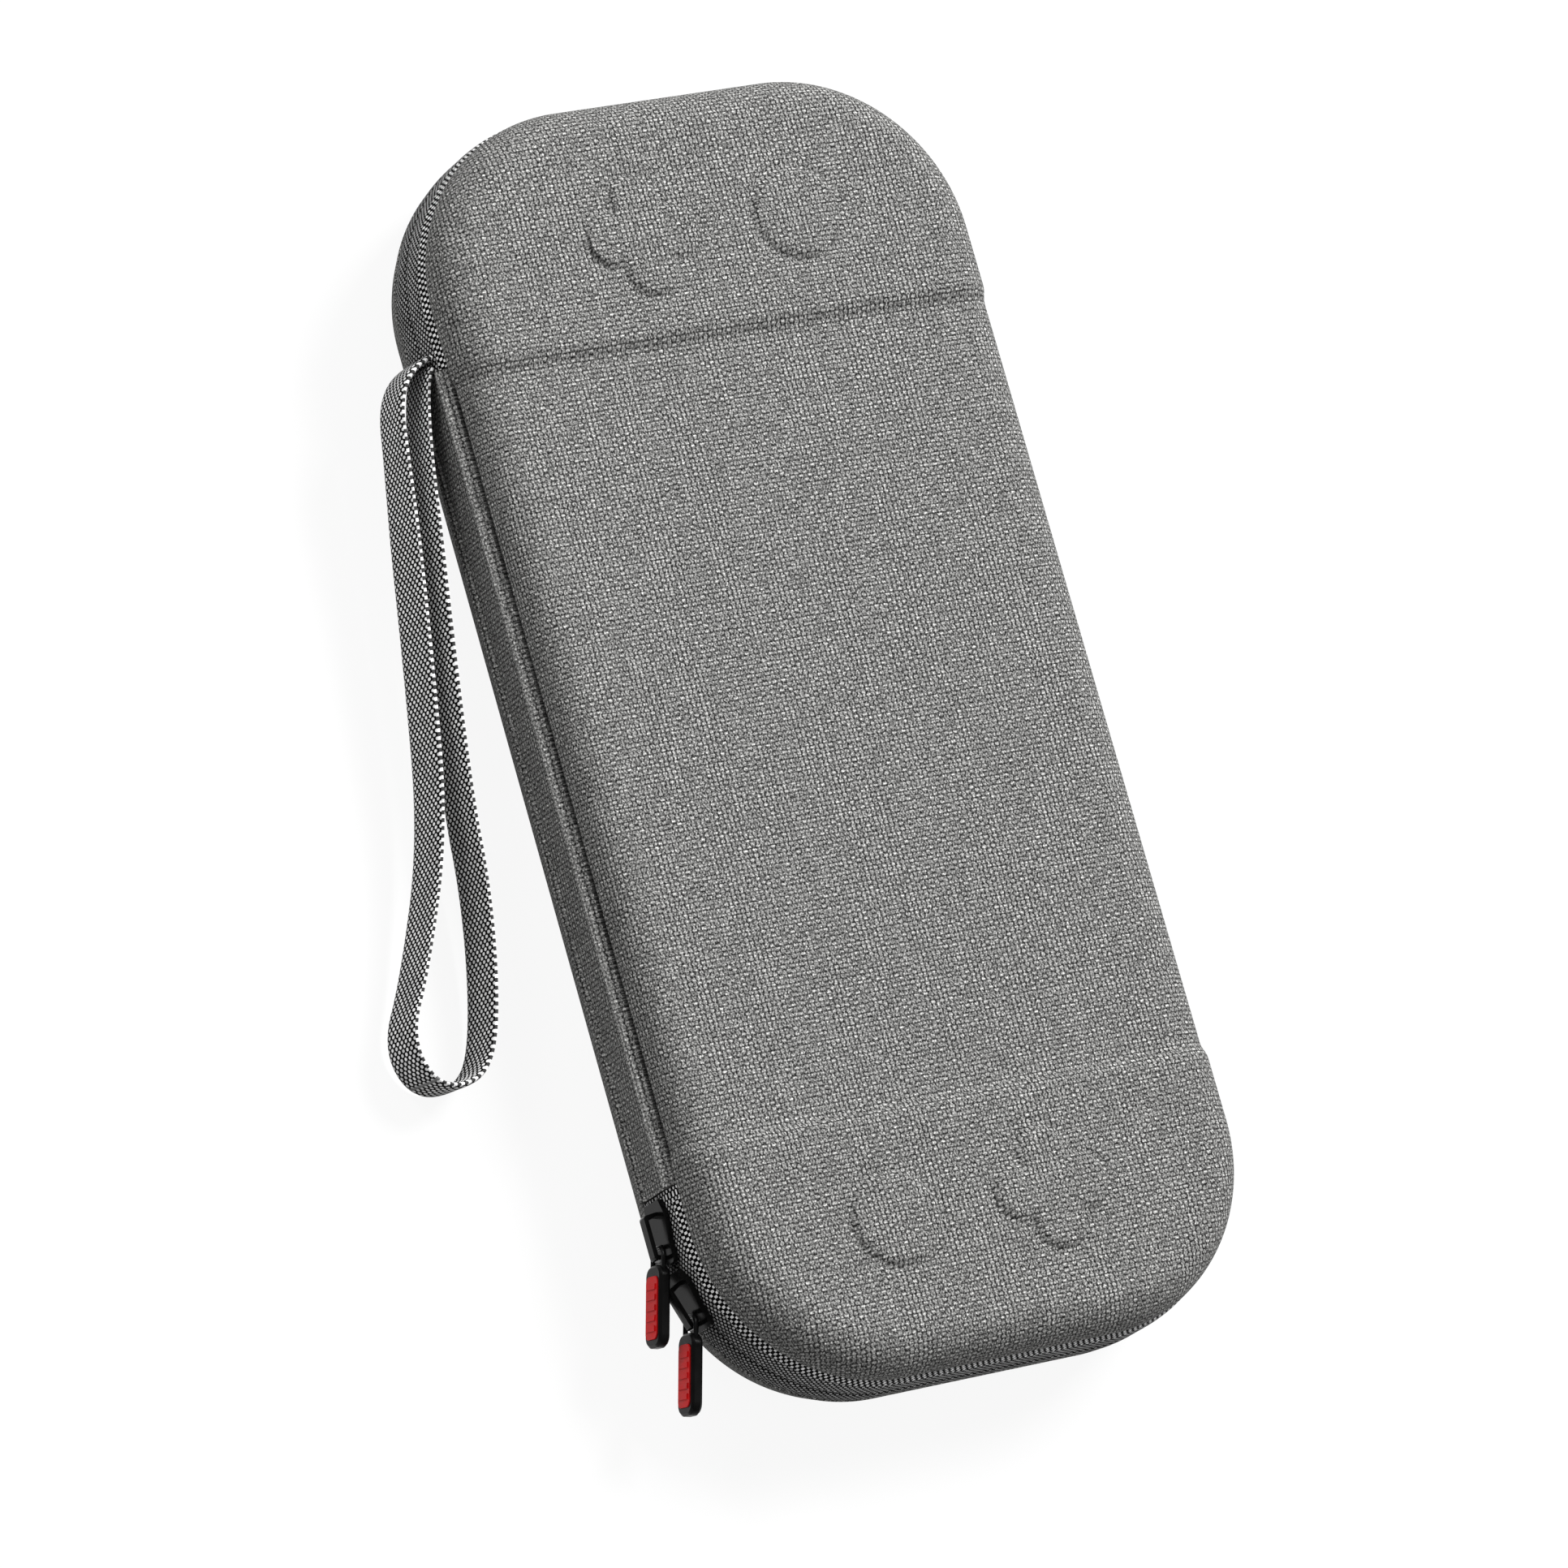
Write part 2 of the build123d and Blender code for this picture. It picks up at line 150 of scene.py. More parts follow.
class Graph:
    """Short way to write the node tree of one material."""

    def __init__(self, name):
        self.material = bpy.data.materials.new(name)
        self.material.use_nodes = True
        self.tree = self.material.node_tree
        self.tree.nodes.clear()
        self.output = self.node("ShaderNodeOutputMaterial")

    def node(self, kind, **settings):
        made = self.tree.nodes.new(kind)
        for name, value in settings.items():
            setattr(made, name, value)
        return made

    def put(self, socket, value):
        if isinstance(value, bpy.types.NodeSocket):
            self.tree.links.new(value, socket)
        else:
            socket.default_value = value

    def math(self, operation, *values):
        made = self.node("ShaderNodeMath", operation=operation)
        for socket, value in zip(made.inputs, values):
            self.put(socket, value)
        return made.outputs[0]

    def add(self, first, second):
        return self.math("ADD", first, second)

    def times(self, first, second):
        return self.math("MULTIPLY", first, second)

    def either(self, share, first, second):
        """first where share is 0, second where it is 1."""
        made = self.node("ShaderNodeMix", data_type="FLOAT")
        for socket, value in zip((made.inputs[0], made.inputs[2], made.inputs[3]), (share, first, second)):
            self.put(socket, value)
        return made.outputs[0]

    def smooth(self, value, low, high):
        """0 below low, 1 above high, smooth between."""
        made = self.node("ShaderNodeMapRange", interpolation_type="SMOOTHSTEP")
        for socket, given in zip(made.inputs, (value, low, high, 0.0, 1.0)):
            self.put(socket, given)
        return made.outputs[0]

    def centred(self, value, weight):
        """A value between 0 and 1 as a change up or down."""
        return self.times(self.add(value, -0.5), weight)

    def vector(self, x, y, z=0.0):
        made = self.node("ShaderNodeCombineXYZ")
        for socket, value in zip(made.inputs, (x, y, z)):
            self.put(socket, value)
        return made.outputs[0]

    def cloth_place(self):
        """Cloth coordinates in millimetres: along and across."""
        parts = self.node("ShaderNodeSeparateXYZ")
        self.put(parts.inputs[0], self.node("ShaderNodeUVMap", uv_map="cloth").outputs[0])
        return parts.outputs[0], parts.outputs[1]

    def solid_place(self):
        """Place on the object in millimetres, as a vector."""
        made = self.node("ShaderNodeVectorMath", operation="SCALE")
        self.put(made.inputs[0], self.node("ShaderNodeTexCoord").outputs["Object"])
        self.put(made.inputs["Scale"], 1 / MM)
        return made.outputs[0]

    def noise(self, place, scale, detail=2.0):
        made = self.node("ShaderNodeTexNoise")
        self.put(made.inputs["Vector"], place)
        self.put(made.inputs["Scale"], scale)
        self.put(made.inputs["Detail"], detail)
        return made.outputs[0]

    def chance(self, place):
        """Random value of a cell, from its place as a vector."""
        made = self.node("ShaderNodeTexWhiteNoise", noise_dimensions="3D")
        self.put(made.inputs["Vector"], place)
        return made.outputs[0]

    def colours(self, share, *stops):
        """Colour ramp of (place, grey or colour) stops."""
        made = self.node("ShaderNodeValToRGB")
        ramp = made.color_ramp
        for _ in range(len(stops) - 2):
            ramp.elements.new(0.5)
        for element, (place, colour) in zip(ramp.elements, stops):
            element.position = place
            element.color = (*colour, 1) if isinstance(colour, tuple) else (colour, colour, colour, 1)
        self.put(made.inputs[0], share)
        return made.outputs[0]

    def finish(self, colour, height, deep, rough, **more):
        """Principled surface with a bump of the given depth in millimetres."""
        shader = self.node("ShaderNodeBsdfPrincipled")
        self.put(shader.inputs["Base Color"], colour)
        self.put(shader.inputs["Roughness"], rough)
        for name, value in more.items():
            self.put(shader.inputs[name.replace("_", " ").title().replace("Ior", "IOR")], value)
        bump = self.node("ShaderNodeBump")
        self.put(bump.inputs["Height"], height)
        self.put(bump.inputs["Distance"], deep * MM)
        self.put(shader.inputs["Normal"], bump.outputs[0])
        self.put(self.output.inputs[0], shader.outputs[0])
        return self.material


def heather_cloth(name, pale, dye, welt_highlight_places=None):
    """Uneven plain weave: columns of yarn with staggered floats of two strands, faint rows and
    mottled fibres. The optional last argument gives two places across; between them the cloth is painted
    paler, a painted highlight on the welt's ridge."""
    column, row, floats = 1.017, 0.952, 1.29
    uneven = (0.3, 0.35)
    float_tone, weft_tone, cell_tone = 0.135, -0.045, 0.13
    fibre_tone, fine_tone, gap_tone = 1.7, 0.9, -0.22
    # Strength and edge softness of the painted highlight band along the welt
    welt_highlight_tone, welt_highlight_soft = 0.2, 0.4
    graph = Graph(name)
    along, across = graph.cloth_place()
    from_seam = across
    place = graph.vector(along, across)
    sway = graph.centred(graph.noise(place, uneven[0]), uneven[1])
    drift = graph.centred(graph.noise(graph.vector(across, along, 40.0), uneven[0]), uneven[1])
    along = graph.add(along, sway)
    across = graph.add(across, drift)

    def wave(kind, value, period):
        return graph.math(kind, graph.times(value, 2 * pi / period))

    streak = graph.noise(graph.vector(graph.times(along, 0.2), across, 20.0), 0.16)
    open_weave = graph.smooth(streak, 0.38, 0.62)
    strands = graph.add(wave("SINE", across, 2 * column), wave("SINE", across, 2 * column / 3))
    weave = graph.times(graph.times(wave("SINE", along, floats), strands), float_tone)
    weft = graph.times(wave("COSINE", along, floats / 2), weft_tone)
    columns = graph.times(wave("COSINE", across, column), graph.add(graph.times(open_weave, -0.10), -0.02))
    rows = graph.times(wave("COSINE", along, row), graph.add(graph.times(open_weave, 0.03), -0.08))
    relief = graph.add(graph.add(weave, weft), graph.add(columns, rows))
    fibre = graph.noise(graph.vector(along, across, 60.0), 3.0)
    fine = graph.noise(place, 5.6)
    numbers = [graph.math("FLOOR", graph.times(value, 2 / period))
               for value, period in ((along, floats), (across, 2 * column))]
    cell = graph.chance(graph.vector(*numbers, 7.0))
    crest = graph.times(graph.add(wave("COSINE", across, column), -1.0),
                        graph.add(wave("COSINE", along, floats / 2), -1.0))
    gaps = []
    for value, step, turn in ((along, row, 3.0), (across, column, 9.0)):
        ragged = graph.centred(graph.noise(graph.vector(along, across, turn), 1.8), 0.6)
        share = graph.math("FRACT", graph.math("DIVIDE", value, step))
        middle = graph.math("ABSOLUTE", graph.add(share, -0.5))
        gaps.append(graph.smooth(graph.add(middle, ragged), 0.36, 0.5))
    tone = graph.add(pale, relief)
    # Painted highlight: a paler band along the welt stands in for light on its ridge
    if welt_highlight_places:
        begins, ends = (graph.smooth(from_seam, place - welt_highlight_soft, place + welt_highlight_soft) for place in welt_highlight_places)
        tone = graph.add(tone, graph.times(graph.math("SUBTRACT", begins, ends), welt_highlight_tone))
    for value in (graph.times(graph.centred(cell, cell_tone), crest), graph.centred(fibre, fibre_tone),
                  graph.centred(fine, fine_tone), graph.times(graph.math("MAXIMUM", *gaps), gap_tone)):
        tone = graph.add(tone, value)
    light = graph.math("POWER", graph.math("MAXIMUM", tone, 0.04), 2.2)
    colour = graph.node("ShaderNodeCombineColor")
    for socket, tint in zip(colour.inputs, (1.0, 0.995, 0.972)):
        graph.put(socket, graph.times(light, tint * dye))
    return graph.finish(colour.outputs[0], graph.times(relief, 2.5), 0.07, 0.86, specular_ior_level=0.2)


def dots(graph, along, across, period, half, square=2.4):
    """Staggered pale yarn floats: how high each place stands, and a random value of its float."""
    heights, marks = [], []
    for offset in (0.0, 0.5):
        far = 0.0
        numbers = []
        for value, step, size in zip((along, across), period, half):
            share = graph.add(graph.math("DIVIDE", value, step), offset)
            numbers.append(graph.math("FLOOR", share))
            middle = graph.math("ABSOLUTE", graph.add(graph.math("FRACT", share), -0.5))
            far = graph.add(far, graph.math("POWER", graph.times(middle, step / size), square))
        heights.append(graph.math("SUBTRACT", 1.0, graph.smooth(far, 0.5, 1.3)))
        marks.append(graph.chance(graph.vector(*numbers, offset)))
    mark = graph.either(graph.math("LESS_THAN", *heights), *marks)
    return graph.math("MAXIMUM", *heights), mark


def webbing(name, dash, block, edge_width, full_width, tones, edge_dark, sheen, end_width=0.0, seam=-9.0):
    """Black webbing with staggered pale floats, and blocks along its selvedge and across its start.
    dash and block give the period and the half size of their floats, seam the place of a sewn line."""
    graph = Graph(name)
    along, across = graph.cloth_place()
    height, mark = dots(graph, along, across, *dash)
    from_edge = graph.math("MINIMUM", across, graph.math("SUBTRACT", full_width, across))
    block_height, block_mark = dots(graph, along, from_edge, *block, 5.0)
    end_height, end_mark = dots(graph, across, along, *block, 5.0)
    edge = graph.math("LESS_THAN", from_edge, edge_width)
    end = graph.math("LESS_THAN", along, end_width)
    height = graph.either(end, graph.either(edge, height, block_height), end_height)
    mark = graph.centred(graph.either(end, graph.either(edge, mark, block_mark), end_mark), 0.2)
    fibre = graph.centred(graph.noise(graph.vector(along, across), 4.0), 0.3)
    pale = graph.add(graph.either(graph.math("MAXIMUM", edge, end), *tones), graph.add(mark, fibre))
    dark = graph.either(edge, 0.02, edge_dark)
    tone = graph.math("MAXIMUM", graph.either(height, graph.add(dark, graph.times(fibre, 0.4)), pale), 0.02)
    sewn = graph.smooth(graph.math("ABSOLUTE", graph.add(along, -seam)), 0.22, 0.4)
    tone = graph.either(sewn, 0.5, tone)
    return graph.finish(graph.math("POWER", tone, 2.2), height, 0.12, 0.8, specular_ior_level=0.04,
                        sheen_weight=graph.times(height, sheen))


def lining_cloth():
    """Dark brushed knit: short ribs and a soft nap."""
    graph = Graph("lining_cloth")
    along, across = graph.cloth_place()
    place = graph.vector(along, across)
    loop, mark = dots(graph, along, across, (0.9, 0.8), (0.3, 0.26))
    nap = graph.noise(place, 0.35, 4.0)
    tone = graph.add(graph.times(loop, 0.35), graph.add(graph.times(nap, 0.5), graph.times(mark, 0.12)))
    colour = graph.colours(tone, (0.0, 0.008), (0.55, 0.035), (1.0, 0.10))
    return graph.finish(colour, graph.add(loop, nap), 0.1, 0.92, sheen_weight=0.25)


def ribbed_cloth(name, rib, deep, light):
    """Black woven band with fine ribs across it."""
    graph = Graph(name)
    along, across = graph.cloth_place()
    wave = graph.math("SINE", graph.times(along, 2 * pi / rib))
    yarn, mark = dots(graph, along, across, (2 * rib, 0.9), (0.45 * rib, 0.4))
    height = graph.add(graph.times(wave, 0.4), graph.times(yarn, 0.4))
    tone = graph.add(graph.times(yarn, 0.6), graph.times(mark, 0.25))
    colour = graph.colours(tone, (0.0, 0.004), (1.0, light))
    return graph.finish(colour, height, deep, 0.8, sheen_weight=0.1)


def solid_finish(name, dark, light, grain, deep, rough, **more):
    """Moulded surface with a fine grain and uneven gloss."""
    graph = Graph(name)
    place = graph.solid_place()
    fine = graph.noise(place, grain, 3.0)
    broad = graph.noise(place, 0.35, 3.0)
    mottle = graph.add(graph.times(broad, 0.6), graph.times(fine, 0.4))
    colour = graph.colours(mottle, (0.3, dark), (0.7, light))
    uneven = graph.add(rough, graph.times(graph.add(broad, -0.5), 0.2))
    return graph.finish(colour, fine, deep, uneven, **more)


materials = {
    "heather": heather_cloth("heather_cloth", 0.585, 0.53),
    # Spine cloth: the same cloth with a painted highlight band along its welt
    "spine": heather_cloth("spine_cloth", 0.585, 0.53, (1.6, 2.9)),
    "lid_tape": webbing("lid_tape_cloth", TAPE_DASH, TAPE_BLOCK, 2.7, 99.0, (0.74, 0.95), 0.02, 0.1, 2.5),
    # Base tape: the same webbing with darker floats (0.67 against 0.74), painted shade for the lower, shaded
    # tape
    "base_tape": webbing("base_tape_cloth", TAPE_DASH, TAPE_BLOCK, 0.0, 99.0, (0.67, 0.95), 0.02, 0.1, 2.5),
    "strap": webbing("strap_cloth", STRAP_DASH, STRAP_BLOCK, 0.35, STRAP_WIDTH, (0.96, 0.98), 0.27, 0.9,
                     seam=148.0),
    "lining": lining_cloth(),
    "binding": ribbed_cloth("seam_binding_cloth", 0.6, 0.1, 0.05),
    "elastic": ribbed_cloth("elastic_cloth", 1.1, 0.25, 0.06),
    "coil": solid_finish("coil_nylon", 0.008, 0.02, 2.0, 0.02, 0.35),
    "net": solid_finish("net_yarn", 0.010, 0.03, 6.0, 0.05, 0.8),
    "thread": solid_finish("sewing_thread", 0.07, 0.15, 5.0, 0.04, 0.7),
    "slider": solid_finish("slider_enamel", 0.003, 0.006, 3.0, 0.003, 0.2, specular_ior_level=0.1),
    "rubber": solid_finish("grip_rubber", 0.003, 0.006, 7.0, 0.01, 0.3, specular_ior_level=0.06),
    "red": solid_finish("inlay_rubber", (0.50, 0.004, 0.005), (0.72, 0.008, 0.010), 5.0, 0.015, 0.5,
                        specular_ior_level=0.15),
}


def piece(name, points, faces, look, body, cloth=None):
    """New piece of the object from points in millimetres, riding on a body."""
    mesh = bpy.data.meshes.new(name)
    mesh.from_pydata((np.asarray(points) * MM).tolist(), [], faces)
    mesh.materials.append(materials[look])
    if cloth is not None:
        corner = np.empty(len(mesh.loops), dtype=np.int32)
        mesh.loops.foreach_get("vertex_index", corner)
        layer = mesh.uv_layers.new(name="cloth")
        layer.data.foreach_set("uv", np.asarray(cloth, dtype=np.float32)[corner].ravel())
    mesh.polygons.foreach_set("use_smooth", [True] * len(mesh.polygons))
    made = bpy.data.objects.new(name, mesh)
    bpy.context.collection.objects.link(made)
    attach(made, body)
    return made


def ease(value, low, high):
    """0 below low, 1 above high, smooth between."""
    share = np.clip((value - low) / (high - low), 0, 1)
    return share * share * (3 - 2 * share)


def spokes(stops, step, closed):
    """Feet and outward directions along a line of arcs (x, y, from, to) and straight runs."""
    feet, outs = [], []
    last = len(stops) if closed else len(stops) - 1
    for index, (x, y, begin, end) in enumerate(stops):
        arc_steps = max(1, round(radians(end - begin) * CORNER / step))
        turns = [begin + (end - begin) * k / arc_steps for k in range(arc_steps)] if end > begin else []
        feet += [(x, y)] * len(turns)
        outs += [(cos(radians(turn)), sin(radians(turn))) for turn in turns]
        if index == last:
            feet.append((x, y))
            outs.append((cos(radians(end)), sin(radians(end))))
            break
        next_x, next_y = stops[(index + 1) % len(stops)][:2]
        side_steps = max(1, round(hypot(next_x - x, next_y - y) / step))
        for k in range(side_steps):
            share = k / side_steps
            feet.append((x + (next_x - x) * share, y + (next_y - y) * share))
            outs.append((cos(radians(end)), sin(radians(end))))
    return np.array(feet), np.array(outs)


CASE_STOPS = [
    (CORNER_X, -CORNER_Y, -90, 0), (CORNER_X, CORNER_Y, 0, 90),
    (-CORNER_X, CORNER_Y, 90, 180), (-CORNER_X, -CORNER_Y, 180, 270),
]
ZIP_STOPS = [
    (spine_low[0] - 0.2, CORNER_Y, 90, 90), *CASE_STOPS[2:], *[
        (x, y, begin + 360, end + 360) for x, y, begin, end in CASE_STOPS[:2]],
    (spine_high[0] + 0.2, CORNER_Y, 450, 450),
]


def roll(inset, level, radius, lean):
    """Turned cloth edge below a leaning side, from its underside to the side."""
    up = radius * (1 + sin(lean))
    centre = (inset + up * tan(lean) + radius * cos(lean), level + radius)
    turns = np.linspace(-pi / 2, lean, 7)
    return [(centre[0] - radius * cos(turn), centre[1] + radius * sin(turn)) for turn in turns]


def crown(inset, low, high):
    """Lid side as taut cloth draws it: pulled in and upright at the seam, round up to the flat top."""
    reach = (high - low) * tan(DRAFT) + LID_EDGE * tan((pi / 2 - DRAFT) / 2) - SEAM_PULL
    foot = inset + SEAM_PULL
    start = low + LID_ROLL
    turns = np.linspace(0, pi / 2, 19)[1:]
    return roll(foot, low, LID_ROLL, 0) + [
        (foot + reach * (1 - cos(turn)), start + (high - start) * sin(turn)) for turn in turns]


def shoulder(inset, low, high, radius):
    """Drafted side and round shoulder up to a flat top, as (inset, level) points."""
    meet = inset + (high - low) * tan(DRAFT)
    tangent = radius * tan((pi / 2 - DRAFT) / 2)
    centre = (meet + tangent, high - radius)
    turns = np.linspace(DRAFT, pi / 2, 13)
    arc = [(centre[0] - radius * cos(turn), centre[1] + radius * sin(turn)) for turn in turns]
    start = arc[0][1]
    side = [(inset + (level - low) * tan(DRAFT), level) for level in np.linspace(low, start, 5)[:-1]]
    return side + arc


def dished(ends, middle, step, relief, flip=1):
    """Points, faces and cloth places of a shell face: profiled edge, then a flat middle.
    The profile blends from middle to ends across the lid's two steps."""
    feet, outs = spokes(CASE_STOPS, step, True)
    flat = np.linspace(ends[-1][0], CORNER, ceil((CORNER - ends[-1][0]) / step) + 1)[1:-1]
    ends = np.array(list(ends) + [(inset, ends[-1][1]) for inset in flat])
    middle = np.array(list(middle) + [(inset, middle[-1][1]) for inset in flat])
    bends = np.hypot(*np.diff(ends, axis=0).T)
    spread = CORNER - ends[-1, 0] + np.append(np.cumsum(bends[::-1])[::-1], 0)
    points, cloth = [], []
    for (end_inset, end_level), (mid_inset, mid_level), reach in zip(ends, middle, spread):
        share = end_share(feet[:, 0] + outs[:, 0] * (CORNER - end_inset))
        inset = mid_inset + (end_inset - mid_inset) * share
        level = mid_level + (end_level - mid_level) * share
        plan = feet + outs * (CORNER - inset)[:, None]
        points.append(np.c_[plan, level + relief(*plan.T)])
        cloth.append(feet + outs * reach)
    nx = round(2 * CORNER_X / step)
    ny = round(2 * CORNER_Y / step)
    grid = np.array([(-CORNER_X + 2 * CORNER_X * i / nx, -CORNER_Y + 2 * CORNER_Y * j / ny)
                     for j in range(ny + 1) for i in range(nx + 1)])
    share = end_share(grid[:, 0])
    level = middle[-1, 1] + (ends[-1, 1] - middle[-1, 1]) * share
    points.append(np.c_[grid, level + relief(*grid.T)])
    cloth.append(grid)
    count = len(feet)
    first = count * len(ends)
    column = np.rint((feet[:, 0] + CORNER_X) / (2 * CORNER_X) * nx).astype(int)
    row = np.rint((feet[:, 1] + CORNER_Y) / (2 * CORNER_Y) * ny).astype(int)
    inner = first + row * (nx + 1) + column
    faces = []
    for ring in range(len(ends)):
        for k in range(count):
            after = (k + 1) % count
            low, high = ring * count + k, ring * count + after
            up, down = (high + count, low + count) if ring + 1 < len(ends) else (inner[after], inner[k])
            faces.append((low, high, up, down) if up != down else (low, high, up))
    for j in range(ny):
        for i in range(nx):
            corner = first + j * (nx + 1) + i
            faces.append((corner, corner + 1, corner + nx + 2, corner + nx + 1))
    if flip < 0:
        faces = [face[::-1] for face in faces]
    return np.vstack(points), [tuple(int(k) for k in face) for face in faces], np.vstack(cloth)


def end_share(x):
    """0 on the lower middle of the lid, 1 on its raised ends."""
    return ease(np.abs(x), END_STEP - STEP_SOFT, END_STEP + STEP_SOFT)


def emboss(x, y):
    """Height of the raised stick discs and button clusters."""
    height = np.zeros_like(x)
    for side in (1, -1):
        stick = STICK_RADIUS - np.hypot(x - side * EMBOSS_X, y + side * STICK_Y)
        u = x - side * EMBOSS_X
        v = y - side * CLUSTER_Y
        lobes = LOBE_RADIUS - np.hypot(np.maximum(abs(u), abs(v)) - LOBE_SPREAD, np.minimum(abs(u), abs(v)))
        square = (2 * LOBE_SPREAD - LOBE_RADIUS) / 2 - (abs(u) + abs(v)) / 2 ** 0.5
        depth = np.maximum(stick, np.maximum(lobes, square))
        height += EMBOSS_RISE * ease(depth, -EMBOSS_SOFT, EMBOSS_SOFT)
        height -= EMBOSS_DIP * np.exp(-((depth + DIP_PLACE) / DIP_WIDTH) ** 2)
    return height


def level_cloth(x, y):
    """No embossing."""
    return np.zeros_like(x)


def mirrored(profile, total):
    """A profile turned upside down within a height."""
    return [(inset, total - level) for inset, level in profile]


def shells():
    """Cloth covers outside and knit lining inside, for the lid and the base."""
    ends = crown(0, SEAM_HIGH, LID_TOP)
    middle = crown(WAIST, SEAM_HIGH, MIDDLE_TOP)
    points, faces, cloth = dished(ends, middle, 0.7, emboss)
    cover = piece("lid_cover", points, faces, "heather", "lid", cloth)
    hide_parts("lid_shell")
    rim = [(JOGGLE, SEAM_HIGH), (JOGGLE, RIM_HIGH + 0.4), (JOGGLE + 0.4, RIM_HIGH),
           (WALL - 0.4, RIM_HIGH), (WALL, RIM_HIGH + 0.4)]
    mouth = lid_bind_high[2]
    ends = rim + shoulder(WALL, mouth, LID_TOP - WALL, LID_EDGE - WALL)
    middle = rim + shoulder(WALL + WAIST, mouth, MIDDLE_TOP - WALL, LID_EDGE - WALL)
    points, faces, cloth = dished(ends, middle, 1.6, level_cloth, -1)
    piece("lid_lining", points, faces, "lining", "lid", cloth)

    outside = roll(0, 0, CLOTH_ROLL, DRAFT) + shoulder(0, 0, SEAM_LOW, BASE_EDGE)[1:]
    outside = mirrored(outside, SEAM_LOW)
    points, faces, cloth = dished(outside, outside, 1.2, level_cloth, -1)
    cover = piece("base_cover", points, faces, "heather", "base", cloth)
    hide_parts("base_shell")
    rim = [(JOGGLE, SEAM_LOW), (JOGGLE, RIM_LOW - 0.4), (JOGGLE + 0.4, RIM_LOW),
           (WALL - 0.4, RIM_LOW), (WALL, RIM_LOW - 0.4)]
    mouth = base_bind_low[2]
    inside = rim + mirrored(shoulder(WALL, 0, mouth - WALL, BASE_EDGE - WALL), mouth)
    points, faces, cloth = dished(inside, inside, 1.6, level_cloth)
    piece("base_lining", points, faces, "lining", "base", cloth)


def band_faces(runs, size, closed=False):
    """Faces of a section of size points run through a number of places, with caps at open ends."""
    faces = []
    for k in range(runs if closed else runs - 1):
        low, high = k * size, (k + 1) % runs * size
        for j in range(size):
            after = (j + 1) % size
            faces.append((low + j, high + j, high + after, low + after))
    if not closed:
        faces.append(tuple(range(size))[::-1])
        faces.append(tuple(range((runs - 1) * size, runs * size)))
    return faces


def strip(feet, outs, reach, section, closed=False):
    """Points, faces and cloth places of a closed section (inset, level, cloth) run along spokes."""
    section = np.array(section)
    plan = feet[:, None] + outs[:, None] * (reach - section[None, :, :1])
    levels = np.broadcast_to(section[None, :, 1:2], plan.shape[:2] + (1,))
    points = np.concatenate([plan, levels], axis=2)
    walk = np.hypot(*np.diff(feet + outs * reach, axis=0).T)
    along = np.append(0, np.cumsum(walk))
    cloth = np.stack(np.broadcast_arrays(along[:, None], section[None, :, 2]), axis=2)
    return points.reshape(-1, 3), band_faces(*points.shape[:2], closed), cloth.reshape(-1, 2)


def zip_tapes():
    """Two tapes that meet at the slit; the upper one leans in with the lid."""
    feet, outs = spokes(ZIP_STOPS, 0.9, False)
    inner = JOGGLE - SEAM_GAP
    for name, node, look, body, edge, slit in (
            ("lid_tape", "lid_zip_tape", "lid_tape", "lid", SEAM_HIGH + LID_TAPE_LAP, SLIT + SLIT_HALF),
            ("base_tape", "base_zip_tape", "base_tape", "base", SEAM_LOW - BASE_TAPE_LAP, SLIT - SLIT_HALF)):
        section = []
        for share in np.linspace(0, 1, 10):
            lean = TAPE_LEAN * ease(1 - share, 0.45, 1.0)
            tuck = TAPE_TUCK * ease(share, 0.95, 1.0)
            section.append((lean + tuck - TAPE_PROUD, edge + (slit - edge) * share, share * abs(slit - edge)))
        section.append((inner, slit, abs(slit - edge)))
        section.append((inner, edge, 0.0))
        points, faces, cloth = strip(feet, outs, CORNER, section)
        made = piece(name, points, faces, look, body, cloth)
        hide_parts(node)


def spine_cover():
    """Cloth panel over the hinge, with a welt along both seams."""
    low, high = spine_low[2], SEAM_HIGH + SPINE_LAP
    stops = [(spine_high[0], CORNER_Y, 90, 90), (spine_low[0], CORNER_Y, 90, 90)]
    feet, outs = spokes(stops, 0.8, False)
    section = []
    walked = 0.0
    for level in np.linspace(high, low, 61):
        from_edge = min(high - level, level - low)
        welt = WELT_RISE * max(0, 1 - ((from_edge - WELT_FROM_EDGE) / WELT_HALF) ** 2) ** 0.5
        crevice = float(ease(1 - from_edge / CREVICE_WIDE, 0, 1)) if level > SLIT else 0.0
        inset = (SPINE_PROUD + CREVICE_DEEP) * crevice - SPINE_PROUD - welt
        walked += hypot(inset - section[-1][0], level - section[-1][1]) if section else 0
        section.append((inset, level, walked))
    inner = JOGGLE - SEAM_GAP
    section.append((inner, low, walked))
    section.append((inner, high, 0.0))
    points, faces, cloth = strip(feet, outs, CORNER, section)
    made = piece("spine_cover", points, faces, "spine", "base", cloth)
    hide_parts("spine_panel")


def round_section(inset_low, inset_high, low, high, bulge):
    """Soft band section between two insets and two levels, swelling on its inner face."""
    section = []
    for share in np.linspace(0, 1, 9):
        swell = bulge * (1 - (2 * share - 1) ** 4)
        section.append((inset_high - bulge + swell, low + (high - low) * share, (high - low) * share))
    section.append((inset_low, high, high - low))
    section.append((inset_low, low, 0.0))
    return section


def bindings():
    """Woven bindings over the sewn rims inside the lid and the base."""
    feet, outs = spokes(CASE_STOPS, 1.5, True)
    for name, node, body, (low, high) in (
            ("lid_rim_binding", "lid_binding", "lid", (lid_bind_low, lid_bind_high)),
            ("base_rim_binding", "base_binding", "base", (base_bind_low, base_bind_high))):
        inset_low = HALF_WIDTH - high[1]
        section = round_section(inset_low, inset_low + 0.95, low[2], high[2], 0.35)
        points, faces, cloth = strip(feet, outs, CORNER, section, True)
        made = piece(name, points, faces, "binding", body, cloth)
        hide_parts(node)


